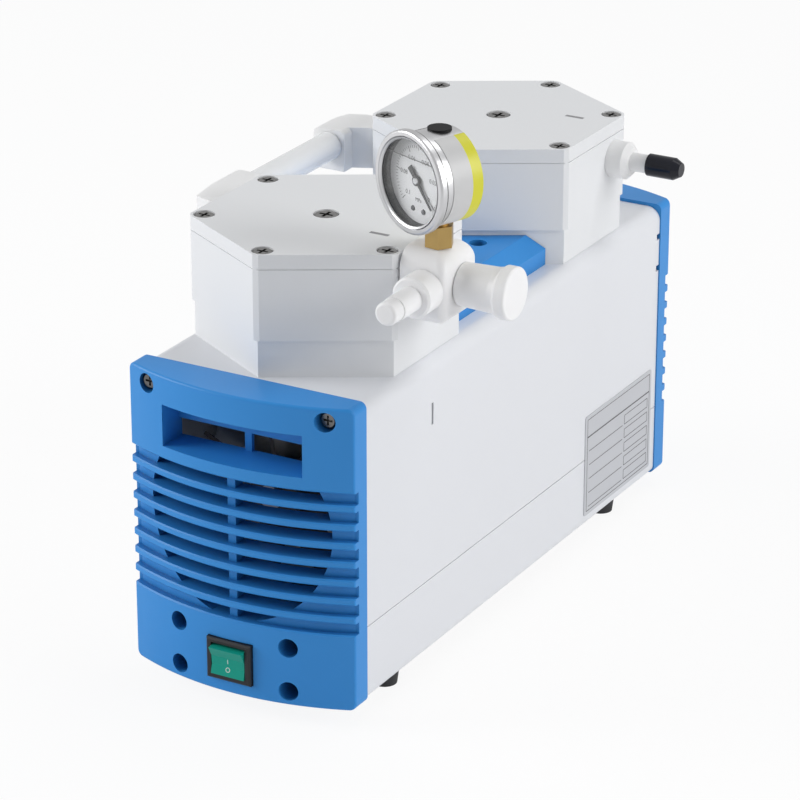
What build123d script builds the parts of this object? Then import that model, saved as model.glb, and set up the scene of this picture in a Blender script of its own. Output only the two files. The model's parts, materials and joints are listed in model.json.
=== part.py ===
"""Twin-head diaphragm vacuum pump, built as separate pieces.

The switch end faces -Y, the inlet valve and gauge are on +X, and +Z is up.
The origin is on the ground below the middle of the casing. All sizes are in mm.
"""
import math
import os

from build123d import *

os.makedirs("parts", exist_ok=True)

# Casing
CASE_HALF_W = 60.0
CASE_HALF_L = 153.45
CASE_BOTTOM = 10.0
CASE_TOP = 159.5
SEAM_Z = 47.5
WALL = 2.2
TOP_R = 7.0
BOTTOM_R = 3.0
INSIDE_W = CASE_HALF_W - WALL
TAB_END = CASE_HALF_L - 4.95
FAR = 400.0

# End panels
PANEL_HALF_W = CASE_HALF_W + 0.7
PANEL_BOTTOM = CASE_BOTTOM - 1.1
PANEL_TOP = CASE_TOP + 1.8
PANEL_CORNER_R = 3.4
PANEL_EDGE_R = 1.4
PANEL_WALL = 2.6
PANEL_DEPTH = 24.0
CROWN = CASE_HALF_L + PANEL_DEPTH
BULGE_R = 148.8
FLUTES = 8
FLUTE_TOP_Z = 116.7
FLUTE_PITCH = 9.4
FLUTE_H = 5.9
FLUTE_DEPTH = 4.0
CREST_EASE = 0.7
GRILLE_R = 49.0
BLADE_DEPTH = 11.0
DIVIDER_W = 4.2
WINDOW_HALF_W = 37.8
WINDOW_Z = (126.1, 147.0)
WINDOW_BACK = CASE_HALF_L + 4.45
RIM_START = CASE_HALF_L + 3.55
LIP_IN = CASE_HALF_L - 4.0
WELL_X = CASE_HALF_W - 12.0
WELL_Z = CASE_TOP - 5.0
TOP_WELL_FLOOR = CASE_HALF_L + 10.35
LOW_WELL_X = 30.0
LOW_WELL_ZS = (CASE_BOTTOM + 28.6, CASE_BOTTOM + 6.2)
LOW_WELL_FLOOR = CASE_HALF_L + 4.95

# Feet
FOOT_X = CASE_HALF_W - 12.0
FOOT_Y = 115.4

# Capacitor
CAPACITOR_X = 22.0 - CASE_HALF_W
CAPACITOR_R = 14.0
CAPACITOR_Z = 28.0

# Motor, shaft and crank
SHAFT_Z = 95.5
SHAFT_R = 7.5
SHAFT_END_R = 6.0
SHAFT_HALF_L = 140.0
SHAFT_STEP = 118.0
STATOR_R = CASE_HALF_W - 8.0
STATOR_BORE = 30.0
STATOR_HALF_L = 30.0
SHIELD_END = 56.0
BEARING_R = 17.5
BEARING_W = 11.0
INNER_BEARING = 43.5
OUTER_BEARING = 103.6
RUN = 0.05
SEAT = 0.02
THROW = 3.0
JOURNAL_R = 15.0
CRANK_BEARING_R = 27.5
ROD_R = 34.0
CRANK_BORE = 42.0
CRANK_OUT = 47.0

# Heads
HEAD_Y = 85.8
HEX_R = 64.6
NECK_HEX_R = 62.6
HEAD_Z = 178.0
BODY_TOP = 213.3
COVER_TOP = 220.3
CHAMBER_TOP = 185.5
DIAPHRAGM_T = 2.0
SCREW_CIRCLE = 57.2
PORT_Z = 205.3
EXHAUST_Z = 200.7
FRONT_INLET_DY = -12.9
FRONT_OUTLET_DY = 18.7
REAR_INLET_DY = -17.3
REAR_OUTLET_DY = 18.8
POCKET_X = 24.0
POCKET_R = 12.0

# Inlet valve and gauge
VALVE_X = (57.2, 80.2)
VALVE_Y = (-116.8, -84.7)
VALVE_Z = (188.8, 222.9)
NOZZLE_X = 70.0
GAUGE_X = 70.2
GAUGE_Y = -103.2
GAUGE_Z = 256.7
GAUGE_TURN = -22.0
GAUGE_CASE_R = 22.0
BEZEL_R = 24.4
BEZEL_FACE = -18.4
POINTER_REST = -48.0
KNOB_R = 12.65
KNOB_Z = 204.4
KNOB_END = 107.7

# Transfer tube
TUBE_X = -77.0
TUBE_Z = 202.2
TUBE_R = 7.3
ELBOW_OUT = 9.0
ELBOW_Z = (189.5, 211.0)
FRONT_REACH = 38.0
REAR_REACH = 21.5

# Switch
SWITCH_Z = 26.3
PIVOT_Y = 3.05 - CROWN
ROCKER_REST = -7.0

TURN = {"x": (0, 90, 0), "y": (-90, 0, 0), "z": (0, 0, 0)}
STEP = {"x": (1, 0, 0), "y": (0, 1, 0), "z": (0, 0, 1)}
HEAD_TO = {"z": (0, 0, 0), "-z": (180, 0, 0), "-y": (90, 0, 0), "y": (-90, 0, 0)}
LOW = (Align.CENTER, Align.CENTER, Align.MIN)


# ---------------------------------------------------------------- basic shapes
def block(x0, x1, y0, y1, z0, z1):
    middle = Pos((x0 + x1) / 2, (y0 + y1) / 2, (z0 + z1) / 2)
    return middle * Box(x1 - x0, y1 - y0, z1 - z0)


def rod(r, length, x, y, z, axis="z"):
    return Pos(x, y, z) * Rot(*TURN[axis]) * Cylinder(r, length, align=LOW)


def cone(r0, r1, length, x, y, z, axis="z"):
    return Pos(x, y, z) * Rot(*TURN[axis]) * Cone(r0, r1, length, align=LOW)


def ring(r_out, r_in, length, x, y, z, axis="z"):
    dx, dy, dz = STEP[axis]
    hole = rod(r_in, length + 2, x - dx, y - dy, z - dz, axis)
    return rod(r_out, length, x, y, z, axis) - hole


def along(r, side, near, far, x=0.0, z=SHAFT_Z):
    """A cylinder along Y between two distances from the middle, on one side."""
    start = min(side * near, side * far)
    return rod(r, far - near, x, start, z, "y")


def sleeve(r_out, r_in, side, near, far, x=0.0, z=SHAFT_Z):
    start = min(side * near, side * far)
    return ring(r_out, r_in, far - near, x, start, z, "y")


def slab(side, near, far, x0, x1, z0, z1):
    return block(x0, x1, min(side * near, side * far), max(side * near, side * far), z0, z1)


def hexagon(r, y, z0, z1):
    outline = Pos(0, y, z0) * RegularPolygon(r, 6, rotation=90)
    return extrude(outline, z1 - z0)


def turned(profile, x, y):
    """A closed (radius, height) profile turned about a vertical axis."""
    face = make_face(Plane.XZ * Polyline(*profile, close=True))
    return Pos(x, y, 0) * revolve(face, Axis.Z)


def screw(head_r, head_h, shank_r, shank_l, x, y, z, out="z"):
    """A cross-recess screw; the point given is under the head."""
    head = Cylinder(head_r, head_h, align=LOW)
    head = chamfer(head.edges().sort_by(Axis.Z)[-1], head_h * 0.25)
    slot = Box(head_r * 1.2, head_r * 0.26, head_h)
    cross = slot + Rot(0, 0, 90) * slot
    head = head - Pos(0, 0, head_h) * cross
    shank = Pos(0, 0, -shank_l) * Cylinder(shank_r, shank_l + 0.2, align=LOW)
    return Pos(x, y, z) * Rot(*HEAD_TO[out]) * (head + shank)


def several(shapes):
    return Compound(children=list(shapes))


# ---------------------------------------------------------------- end panels
def panel_block(grow):
    """The bulged panel outline, made larger or smaller all round."""
    half = PANEL_HALF_W + grow
    z0 = PANEL_BOTTOM - grow
    z1 = PANEL_TOP + grow
    body = block(-half, half, -CROWN - 5, -CASE_HALF_L, z0, z1)
    body = fillet(body.edges().filter_by(Axis.Y), PANEL_CORNER_R + grow)
    bulge = rod(BULGE_R + grow, z1 - z0 + 10, 0, BULGE_R - CROWN, z0 - 5)
    return body & bulge


def bulge_shell(outer, inner, z0, z1):
    """A curved wall that follows the face, between two depths from it."""
    centre = BULGE_R - CROWN
    wall = rod(BULGE_R - outer, z1 - z0, 0, centre, z0)
    wall = wall - rod(BULGE_R - inner, z1 - z0 + 2, 0, centre, z0 - 1)
    half = PANEL_HALF_W - 1
    return wall & block(-half, half, -CROWN - 1, -CASE_HALF_L, z0, z1)


def frame_ring(half, thick, y0, y1):
    """A rounded rectangular rim that fits the casing's open end."""
    z0 = CASE_BOTTOM + WALL + (INSIDE_W - half)
    z1 = CASE_TOP - WALL - (INSIDE_W - half)
    outer = block(-half, half, y0, y1, z0, z1)
    outer = fillet(outer.edges().filter_by(Axis.Y), 4.6)
    inner = block(-half + thick, half - thick, y0 - 1, y1 + 1, z0 + thick, z1 - thick)
    inner = fillet(inner.edges().filter_by(Axis.Y), 3.4)
    return outer - inner


def flute_zs():
    return [FLUTE_TOP_Z - FLUTE_PITCH * i for i in range(FLUTES)]


def top_wells():
    return [(-WELL_X, WELL_Z), (WELL_X, WELL_Z)]


def low_wells():
    return [(x, z) for x in (-LOW_WELL_X, LOW_WELL_X) for z in LOW_WELL_ZS]


def grille_blades():
    """Louvre blades, their middle post and the round shroud they end in."""
    low = FLUTE_TOP_Z - FLUTE_PITCH * (FLUTES - 0.5)
    high = FLUTE_TOP_Z + FLUTE_PITCH * 0.5
    depth = bulge_shell(0.6, BLADE_DEPTH, low - 2, high + 2)
    inside = rod(GRILLE_R + 1, 60, 0, -CROWN - 5, SHAFT_Z, "y")
    room = depth & inside
    blades = room & slab(-1, CASE_HALF_L, CROWN, -FAR, FAR, low - 1.75, low + 1.75)
    for i in range(1, FLUTES + 1):
        z = low + FLUTE_PITCH * i
        blades = blades + (room & slab(-1, CASE_HALF_L, CROWN, -FAR, FAR, z - 1.75, z + 1.75))
    post = slab(-1, CASE_HALF_L, CROWN, -DIVIDER_W / 2, DIVIDER_W / 2, low, high)
    post = post & bulge_shell(FLUTE_DEPTH, BLADE_DEPTH, low, high) & inside
    shroud = ring(GRILLE_R + 2.4, GRILLE_R, 30, 0, -CROWN + 4, SHAFT_Z, "y")
    shroud = shroud & bulge_shell(4.5, BLADE_DEPTH + 2, low - 1.5, high + 2.6)
    return blades + post + shroud


def flute(z0, z1):
    """The space of one flute, opening out a little at the crests."""
    root = BULGE_R - FLUTE_DEPTH
    ease = BULGE_R - CREST_EASE
    mouth = BULGE_R + 3
    slope = 3 + CREST_EASE
    lower = [(root, z0), (ease, z0), (mouth, z0 - slope)]
    upper = [(mouth, z1 + slope), (ease, z1), (root, z1)]
    space = turned(lower + upper, 0, BULGE_R - CROWN)
    return space & slab(-1, CASE_HALF_L + 7.5, CROWN + 5, -FAR, FAR, z0 - slope, z1 + slope)


def end_panel(hole_w, hole_h, seat_w, seat_h):
    """The moulded end: bulged face, flutes, grille, window and screw wells."""
    body = panel_block(0.0)
    face = body.faces().sort_by(Axis.Y)[0]
    body = fillet(face.edges(), PANEL_EDGE_R)
    hollow = panel_block(-PANEL_WALL)
    low = FLUTE_TOP_Z - FLUTE_PITCH * (FLUTES - 0.5) - 3.2
    high = FLUTE_TOP_Z + FLUTE_PITCH * 0.5 + 2.4
    core = rod(BULGE_R - FLUTE_DEPTH - PANEL_WALL, 200, 0, BULGE_R - CROWN, 0)
    backing = slab(-1, CASE_HALF_L, CROWN + 5, -FAR, FAR, low, high) - core
    body = body - (hollow - backing)

    tunnel = rod(GRILLE_R, 60, 0, -CROWN - 5, SHAFT_Z, "y")
    for z in flute_zs():
        z0 = z - FLUTE_H / 2
        z1 = z + FLUTE_H / 2
        body = body - flute(z0, z1)
        body = body - (tunnel & slab(-1, CASE_HALF_L - 8, CROWN + 5, -FAR, FAR, z0, z1))
    body = body + grille_blades()

    z0, z1 = WINDOW_Z
    near = WINDOW_BACK - 2.2
    half = WINDOW_HALF_W
    box = slab(-1, near, CROWN + 5, -half - 2, half + 2, z0 - 2, z1 + 2)
    body = body + (box & panel_block(-1.0))
    body = body - slab(-1, WINDOW_BACK, CROWN + 5, -half, half, z0, z1)
    for side in (-1, 1):
        x0 = min(side * 1.85, side * half)
        x1 = max(side * 1.85, side * half)
        body = body - slab(-1, near - 2, WINDOW_BACK + 1, x0, x1, z0, 135.3)

    body = body + frame_ring(INSIDE_W - 0.3, 1.6, -RIM_START, -LIP_IN)
    half = PANEL_HALF_W - 1.7
    rim = slab(-1, CASE_HALF_L, RIM_START, -half, half, PANEL_BOTTOM + 1.6, PANEL_TOP - 1.5)
    half = CASE_HALF_W - 4
    rim = rim - slab(-1, LIP_IN, RIM_START + 1, -half, half, CASE_BOTTOM + 4, CASE_TOP - 4.2)
    body = body + rim

    half = INSIDE_W - 0.3
    trim = slab(-1, LIP_IN - 5, CASE_HALF_L + 1, -half, half, CASE_BOTTOM + 2.5, CASE_TOP - 2.5)
    trim = trim + panel_block(-0.6)
    wells = [(x, z, TOP_WELL_FLOOR) for x, z in top_wells()]
    wells = wells + [(x, z, LOW_WELL_FLOOR) for x, z in low_wells()]
    for x, z, depth in wells:
        boss = rod(6.6, CROWN + 5 - TAB_END, x, -CROWN - 5, z, "y")
        body = body + (boss & trim)
    for x, z, depth in wells:
        body = body - rod(4.8, CROWN + 5 - depth, x, -CROWN - 5, z, "y")
        body = body - rod(2.2, 40, x, -CROWN, z, "y")

    half_w = seat_w / 2
    half_h = seat_h / 2
    seat = block(-half_w, half_w, -CROWN - 5, -CROWN + 0.95, SWITCH_Z - half_h, SWITCH_Z + half_h)
    hole_z0 = SWITCH_Z - hole_h / 2
    hole_z1 = SWITCH_Z + hole_h / 2
    hole = slab(-1, LIP_IN - 5, CROWN + 5, -hole_w / 2, hole_w / 2, hole_z0, hole_z1)
    return body - seat - hole


def panel_screws(side):
    out = "-y" if side < 0 else "y"
    made = []
    for x, z in top_wells():
        made.append(screw(4.0, 2.6, 2.0, 17.0, x, side * TOP_WELL_FLOOR, z, out))
    for x, z in low_wells():
        made.append(screw(4.0, 2.6, 2.0, 12.5, x, side * LOW_WELL_FLOOR, z, out))
    return made


# ---------------------------------------------------------------- casing
def upper_casing():
    shell = block(-CASE_HALF_W, CASE_HALF_W, -CASE_HALF_L, CASE_HALF_L, SEAM_Z, CASE_TOP)
    shell = fillet(shell.edges().filter_by(Axis.Y).sort_by(Axis.Z)[-2:], TOP_R)
    room = block(-INSIDE_W, INSIDE_W, -FAR, FAR, SEAM_Z - 5, CASE_TOP - WALL)
    room = fillet(room.edges().filter_by(Axis.Y).sort_by(Axis.Z)[-2:], TOP_R - WALL)
    shell = shell - room
    for side in (-1, 1):
        shell = shell - rod(49.0, 20, 0, side * HEAD_Y, CASE_TOP - 10)
        for x, z in top_wells():
            tab = slab(side, TAB_END - 7.5, TAB_END, x - 6, x + 6, z - 5.5, CASE_TOP - WALL + 0.1)
            shell = shell + (tab - rod(2.05, 2 * FAR, x, -FAR, z, "y"))
        edge = side * CASE_HALF_W
        shell = shell - block(edge - 0.9, edge + 0.9, -FAR, FAR, SEAM_Z - 1, SEAM_Z + 0.25)
    for x, y in cover_spots():
        shell = shell + rod(4.5, 7.0, x, y, CASE_TOP - WALL - 6.9)
        shell = shell - rod(2.05, 20.0, x, y, CASE_TOP - 15)
    shell = shell - block(CASE_HALF_W - 10, CASE_HALF_W + 10, -91.3, -89.5, 127.1, 138.2)
    for z in (144.0, 126.6):
        notch = slab(1, CASE_HALF_L - 3, CASE_HALF_L + 1, 0, 7, z - 1.6, z + 1.6)
        shell = shell - Pos(CASE_HALF_W - 5, 0, 0) * notch
    return shell


def lower_casing():
    floor_z = CASE_BOTTOM + WALL
    tray = block(-CASE_HALF_W, CASE_HALF_W, -CASE_HALF_L, CASE_HALF_L, CASE_BOTTOM, SEAM_Z)
    tray = fillet(tray.edges().filter_by(Axis.Y).sort_by(Axis.Z)[:2], BOTTOM_R)
    tray = tray - block(-INSIDE_W, INSIDE_W, -FAR, FAR, floor_z, SEAM_Z + 5)
    lip = block(INSIDE_W - 1.6, INSIDE_W - 0.3, -TAB_END, TAB_END, SEAM_Z - 7.5, SEAM_Z + 4.5)
    lip = lip + block(INSIDE_W - 0.8, INSIDE_W + 0.2, -TAB_END, TAB_END, SEAM_Z - 7.5, SEAM_Z - 0.7)
    tray = tray + lip + mirror(lip, Plane.YZ)
    for side in (-1, 1):
        edge = side * CASE_HALF_W
        tray = tray - block(edge - 0.9, edge + 0.9, -FAR, FAR, SEAM_Z - 0.25, SEAM_Z + 1)
        for x in (-LOW_WELL_X, LOW_WELL_X):
            tab = slab(side, TAB_END - 5.5, TAB_END, x - 6, x + 6, floor_z - 0.1, SEAM_Z - 3.5)
            for z in LOW_WELL_ZS:
                tab = tab - rod(2.05, 2 * FAR, x, -FAR, z, "y")
            tray = tray + tab
        for x in (-FOOT_X, FOOT_X):
            tray = tray + rod(5.5, 4.5, x, side * FOOT_Y, floor_z - 0.1)
            tray = tray - rod(2.05, 12.0, x, side * FOOT_Y, CASE_BOTTOM - 1)
    for y in (-84.0, -52.0):
        x0 = CAPACITOR_X - CAPACITOR_R
        x1 = CAPACITOR_X + CAPACITOR_R
        rib = block(x0, x1, y, y + 3.0, floor_z - 0.1, CAPACITOR_Z - 4)
        tray = tray + (rib - rod(CAPACITOR_R + RUN, 10, CAPACITOR_X, y - 3, CAPACITOR_Z, "y"))
    return tray


def rubber_feet():
    made = []
    for x in (-FOOT_X, FOOT_X):
        for y in (-FOOT_Y, FOOT_Y):
            foot = cone(6.2, 7.5, CASE_BOTTOM, x, y, 0)
            foot = foot - rod(4.0, 3.0, x, y, 0) - rod(2.1, 12, x, y, 0)
            made.append(foot)
    return made


def foot_screws():
    spots = [(x, y) for x in (-FOOT_X, FOOT_X) for y in (-FOOT_Y, FOOT_Y)]
    return [screw(3.6, 1.8, 2.0, 13.0, x, y, 3.0, "-z") for x, y in spots]


def nameplate():
    far = CASE_HALF_L - 5.95
    plate = block(CASE_HALF_W, CASE_HALF_W + 0.5, far - 76.5, far, 15.6, 71.3)
    return fillet(plate.edges().filter_by(Axis.X), 1.5)


def cover_spots():
    return [(x, y) for x in (-22.6, 22.6) for y in (-23.0, 23.0)]


def centre_cover():
    """The moulded cover over the casing top between the two heads."""
    half = 46.5
    body = block(-half, half, -60, 60, CASE_TOP, 175.1)
    wedge = Polyline((38.0, 175.2), (38.0, 175.1), (half + 0.1, 167.9), (half + 0.1, 175.2), close=True)
    wedge = extrude(make_face(Plane.XZ * wedge), 70, both=True)
    body = body - wedge - Rot(0, 0, 180) * wedge
    inner = block(-half + 3, half - 3, -60, 60, CASE_TOP - 1, 171.5)
    sink = Polyline((34.5, 171.6), (34.5, 171.5), (half - 2.9, 163.5), (half - 2.9, 171.6), close=True)
    sink = extrude(make_face(Plane.XZ * sink), 70, both=True)
    inner = inner - sink - Rot(0, 0, 180) * sink
    for side in (-1, 1):
        body = body - hexagon(NECK_HEX_R + 0.5, side * HEAD_Y, CASE_TOP - 1, 180)
        inner = inner - hexagon(NECK_HEX_R + 3.6, side * HEAD_Y, CASE_TOP - 2, 180)
    body = body - inner
    for x, y in cover_spots():
        body = body + rod(6.4, 15.0, x, y, CASE_TOP)
        body = body - rod(4.5, 20.0, x, y, 168.0) - rod(2.2, 20.0, x, y, CASE_TOP - 1)
    return body


def centre_cover_screws():
    return [screw(3.9, 2.4, 2.0, 16.0, x, y, 168.0) for x, y in cover_spots()]


# ---------------------------------------------------------------- motor
def end_shield(side):
    shield = sleeve(STATOR_R, STATOR_R - 3.4, side, STATOR_HALF_L, SHIELD_END)
    shield = shield + sleeve(STATOR_R, BEARING_R + SEAT, side, SHIELD_END - 4, SHIELD_END)
    shield = shield + sleeve(22.5, BEARING_R + SEAT, side, INNER_BEARING, SHIELD_END)
    shield = shield + sleeve(18.0, 9.0, side, INNER_BEARING + BEARING_W, SHIELD_END)
    for turn in range(6):
        angle = math.radians(60 * turn + 30)
        x = 34.0 * math.cos(angle)
        z = SHAFT_Z + 34.0 * math.sin(angle)
        shield = shield - along(6.0, side, 50, 58, x, z)
    return shield


def main_bearings():
    made = []
    for side in (-1, 1):
        for near in (INNER_BEARING, OUTER_BEARING):
            made.append(sleeve(BEARING_R, SHAFT_R + RUN, side, near, near + BEARING_W))
    return made


def motor_bracket():
    floor_z = CASE_BOTTOM + WALL
    base = block(-44, 44, -24, 24, floor_z, floor_z + 4)
    webs = block(-34, 34, -24, 24, floor_z, 62.0) - block(-26, 26, -30, 30, floor_z + 4, 100)
    webs = webs + block(-34, 34, -24, -20, floor_z, 56.0) + block(-34, 34, 20, 24, floor_z, 56.0)
    return (base + webs) - rod(STATOR_R + SEAT, 80, 0, -40, SHAFT_Z, "y")


def shaft():
    body = rod(SHAFT_R, 2 * SHAFT_STEP, 0, -SHAFT_STEP, SHAFT_Z, "y")
    return body + rod(SHAFT_END_R, 2 * SHAFT_HALF_L, 0, -SHAFT_HALF_L, SHAFT_Z, "y")


def stator_core():
    length = 2 * STATOR_HALF_L
    return ring(STATOR_R, STATOR_BORE, length, 0, -STATOR_HALF_L, SHAFT_Z, "y")


def winding(side):
    near = STATOR_HALF_L
    return sleeve(STATOR_R - 5, STATOR_BORE + 4, side, near, near + 13)


def rotor_core():
    length = 2 * STATOR_HALF_L
    return ring(STATOR_BORE - 0.4, SHAFT_R + SEAT, length, 0, -STATOR_HALF_L, SHAFT_Z, "y")


def eccentric(side, lift):
    """Offset journal with a hub and a balance weight on the other side."""
    body = along(JOURNAL_R, side, 78.0, 93.6, 0, SHAFT_Z + lift)
    body = body + along(13.0, side, 66.0, 78.0)
    weight = along(38.0, side, 66.0, 74.0)
    if lift > 0:
        weight = weight & block(-38, 38, -200, 200, SHAFT_Z - 50, SHAFT_Z - 6)
    else:
        weight = weight & block(-38, 38, -200, 200, SHAFT_Z + 6, SHAFT_Z + 50)
    body = body + weight
    return body - along(SHAFT_R + SEAT, side, 60, 100)


def fan(side):
    body = along(13.0, side, 122.0, 136.0)
    for turn in range(7):
        blade = Pos(28.5, 0, 0) * Rot(35, 0, 0) * Box(33.0, 15.0, 1.6)
        body = body + Pos(0, side * 129.0, SHAFT_Z) * Rot(0, 360 / 7 * turn, 0) * blade
    return body - along(SHAFT_END_R + SEAT, side, 110, 150)


def connecting_rod(side, lift):
    centre = SHAFT_Z + lift
    top = 176.0 + lift
    body = along(ROD_R, side, HEAD_Y - 6.5, HEAD_Y + 6.5, 0, centre)
    web = block(-11, 11, side * HEAD_Y - 5, side * HEAD_Y + 5, centre, top - 2)
    body = body + web + rod(7.0, 16.0, 0, side * HEAD_Y, top - 17.0)
    body = body + rod(22.0, 3.0, 0, side * HEAD_Y, top - 3.0)
    body = body - along(CRANK_BEARING_R + SEAT, side, HEAD_Y - 10, HEAD_Y + 10, 0, centre)
    return body - rod(3.0 + SEAT, 15.0, 0, side * HEAD_Y, top - 14.0)


def crankcase(side):
    """Crank housing with a round neck and the six-sided flange on top."""
    y = side * HEAD_Y
    body = along(CRANK_OUT, side, SHIELD_END, 110.6)
    body = body + slab(side, 58.0, 110.6, -30, 30, 110, 150)
    body = body + rod(48.0, CASE_TOP - 149.0, 0, y, 149.0)
    body = body + hexagon(NECK_HEX_R, y, CASE_TOP, HEAD_Z)
    body = body - along(CRANK_BORE, side, 61.0, 120)
    body = body - along(9.0, side, 50, 70)
    body = body - rod(23.0, 60.0, 0, y, SHAFT_Z)
    body = body - rod(CRANK_BORE, 40.0, 0, y, 152.0)
    body = body - rod(50.0, 5.0, 0, y, HEAD_Z - DIAPHRAGM_T)
    for x, dy in screw_spots():
        body = body - rod(2.55, 20.0, x, y + dy, 162.5)
    return body


def bearing_cover(side):
    body = along(CRANK_OUT, side, 110.6, 115.6) + along(22.5, side, 103.6, 115.6)
    body = body - along(BEARING_R + SEAT, side, 100, 114.6)
    return body - along(9.0, side, 100, 120)


# ---------------------------------------------------------------- pump heads
def screw_spots():
    angles = [math.radians(a) for a in (-150, -90, -30, 30, 90, 150)]
    return [(SCREW_CIRCLE * math.cos(a), SCREW_CIRCLE * math.sin(a)) for a in angles]


def head_ports(side):
    if side < 0:
        return [(1, FRONT_INLET_DY, PORT_Z), (-1, FRONT_OUTLET_DY, PORT_Z)]
    return [(1, REAR_OUTLET_DY, EXHAUST_Z), (-1, REAR_INLET_DY, PORT_Z)]


def head_body(side):
    y = side * HEAD_Y
    body = hexagon(HEX_R, y, HEAD_Z, BODY_TOP) & rod(HEX_R - 0.9, 60, 0, y, HEAD_Z - 5)
    body = body - cone(42.0, 30.0, CHAMBER_TOP - HEAD_Z, 0, y, HEAD_Z)
    lip = hexagon(HEX_R + 2, y, BODY_TOP - 0.4, BODY_TOP + 1) - hexagon(HEX_R - 0.6, y, 200, 230)
    body = body - lip
    for x, dy in screw_spots():
        body = body - rod(2.75, 60.0, x, y + dy, HEAD_Z - 5)
    body = body - rod(3.05, 20.0, 0, y, 197.0)
    for sx, dy, z in head_ports(side):
        x = sx * POCKET_X
        body = body - rod(POCKET_R, 30.0, x, y + dy, 192.0)
        body = body + rod(1.5, 3.0, x, y + dy, 191.5)
        body = body - ring(14.6, 13.0, 2.0, x, y + dy, BODY_TOP - 1.0)
        for turn in range(4):
            angle = math.radians(90 * turn + 45)
            cx = x + 6.0 * math.cos(angle)
            cy = y + dy + 6.0 * math.sin(angle)
            body = body - rod(2.0, 15.0, cx, cy, 180.0)
        start = x if sx > 0 else -60.0
        body = body - rod(4.0, 60.0 - POCKET_X, start, y + dy, z, "x")
    return body


def head_cover(side):
    y = side * HEAD_Y
    body = hexagon(HEX_R, y, BODY_TOP, COVER_TOP) & rod(HEX_R - 0.9, 60, 0, y, 200)
    for x, dy in screw_spots():
        body = body - rod(5.25, 10.0, x, y + dy, COVER_TOP - 3.2)
        body = body - rod(2.75, 20.0, x, y + dy, BODY_TOP - 5)
    body = body - rod(6.3, 10.0, 0, y, COVER_TOP - 3.4) - rod(3.2, 20.0, 0, y, BODY_TOP - 5)
    dash_y = y + (-12.0 if side < 0 else 15.0)
    return body - block(30.5, 40.5, dash_y - 0.9, dash_y + 0.9, COVER_TOP - 1.6, COVER_TOP + 1)


def cover_screws(side):
    y = side * HEAD_Y
    made = [screw(5.0, 2.9, 2.5, 53.5, x, y + dy, COVER_TOP - 3.2) for x, dy in screw_spots()]
    made.append(screw(6.0, 3.1, 3.0, 19.0, 0, y, COVER_TOP - 3.4))
    return made


def diaphragm(side, lift):
    low = HEAD_Z - DIAPHRAGM_T
    inner = [(3.1, low + lift), (24.5, low + lift), (41.0, low), (49.6, low)]
    outer = [(49.6, HEAD_Z), (41.0, HEAD_Z), (24.5, HEAD_Z + lift), (3.1, HEAD_Z + lift)]
    return turned(inner + outer, 0, side * HEAD_Y)


def clamp_disc(side, lift):
    y = side * HEAD_Y
    z = HEAD_Z + lift
    disc = rod(24.0, 3.0, 0, y, z)
    disc = chamfer(disc.edges().sort_by(Axis.Z)[-1], 1.0)
    return disc + rod(3.0, 14.0, 0, y, z - 13.5)


def valve_flaps():
    made = []
    for side in (-1, 1):
        for sx, dy, z in head_ports(side):
            inlet = (side < 0) == (sx > 0)
            seat_z = 196.6 if inlet else 192.05
            made.append(ring(9.5, 1.6, 1.2, sx * POCKET_X, side * HEAD_Y + dy, seat_z))
    return made


def valve_cages():
    made = []
    for side in (-1, 1):
        for sx, dy, z in head_ports(side):
            x = sx * POCKET_X
            y = side * HEAD_Y + dy
            cage = rod(POCKET_R - RUN, 2.2, x, y, 197.9) + rod(1.5, 2.4, x, y, 195.6)
            cage = cage + ring(POCKET_R - RUN, 10.5, 6.0, x, y, 192.0)
            for turn in range(4):
                angle = math.radians(90 * turn)
                cage = cage - rod(2.6, 10, x + 6 * math.cos(angle), y + 6 * math.sin(angle), 195)
            made.append(cage)
    return made


def pocket_seals():
    made = []
    for side in (-1, 1):
        for sx, dy, z in head_ports(side):
            made.append(ring(14.5, 13.1, 0.98, sx * POCKET_X, side * HEAD_Y + dy, BODY_TOP - 1.0))
    return made


# ---------------------------------------------------------------- inlet valve
def valve_block():
    """The white port body, well rounded on top and at its outer front edge."""
    knob_y = -HEAD_Y + FRONT_INLET_DY
    body = block(VALVE_X[0], VALVE_X[1], VALVE_Y[0], VALVE_Y[1], VALVE_Z[0], VALVE_Z[1])
    upright = body.edges().filter_by(Axis.Z).group_by(Axis.X)[-1]
    body = fillet(upright, 3.5)
    along_x = body.edges().filter_by(Axis.X)
    body = fillet(along_x.group_by(Axis.Z)[-1], 9.5)
    along_x = body.edges().filter_by(Axis.X)
    body = fillet(along_x.group_by(Axis.Z)[0], 4.5)
    body = body - rod(4.0, 20.0, 56.0, knob_y, KNOB_Z, "x")
    body = body - rod(4.0 + RUN, 20.0, 70.0, knob_y, KNOB_Z, "x")
    body = body - rod(3.5, 30.0, NOZZLE_X, VALVE_Y[0] - 5, PORT_Z, "y")
    body = body - rod(2.6, 20.0, GAUGE_X, GAUGE_Y, PORT_Z)
    return body


def inlet_nozzle():
    """Hose nozzle with its closed dust cap pushed over the tip."""
    y = VALVE_Y[0]
    body = rod(9.9, 12.6, NOZZLE_X, y - 12.6, PORT_Z, "y")
    body = chamfer(body.edges().sort_by(Axis.Y)[0], 1.0)
    body = body + rod(6.0, 20.0, NOZZLE_X, y - 28.0, PORT_Z, "y")
    body = body + rod(4.4, 10.0, NOZZLE_X, y - 34.0, PORT_Z, "y")
    return body - rod(2.9, 60.0, NOZZLE_X, y - 50.0, PORT_Z, "y")


def nozzle_cap():
    y = VALVE_Y[0] - 28.0
    cap = rod(5.6, 8.0, NOZZLE_X, y - 8.0, PORT_Z, "y")
    cap = fillet(cap.edges().sort_by(Axis.Y)[0], 1.6)
    return cap - rod(4.4 + SEAT, 6.05, NOZZLE_X, y - 6.05, PORT_Z, "y")


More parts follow.
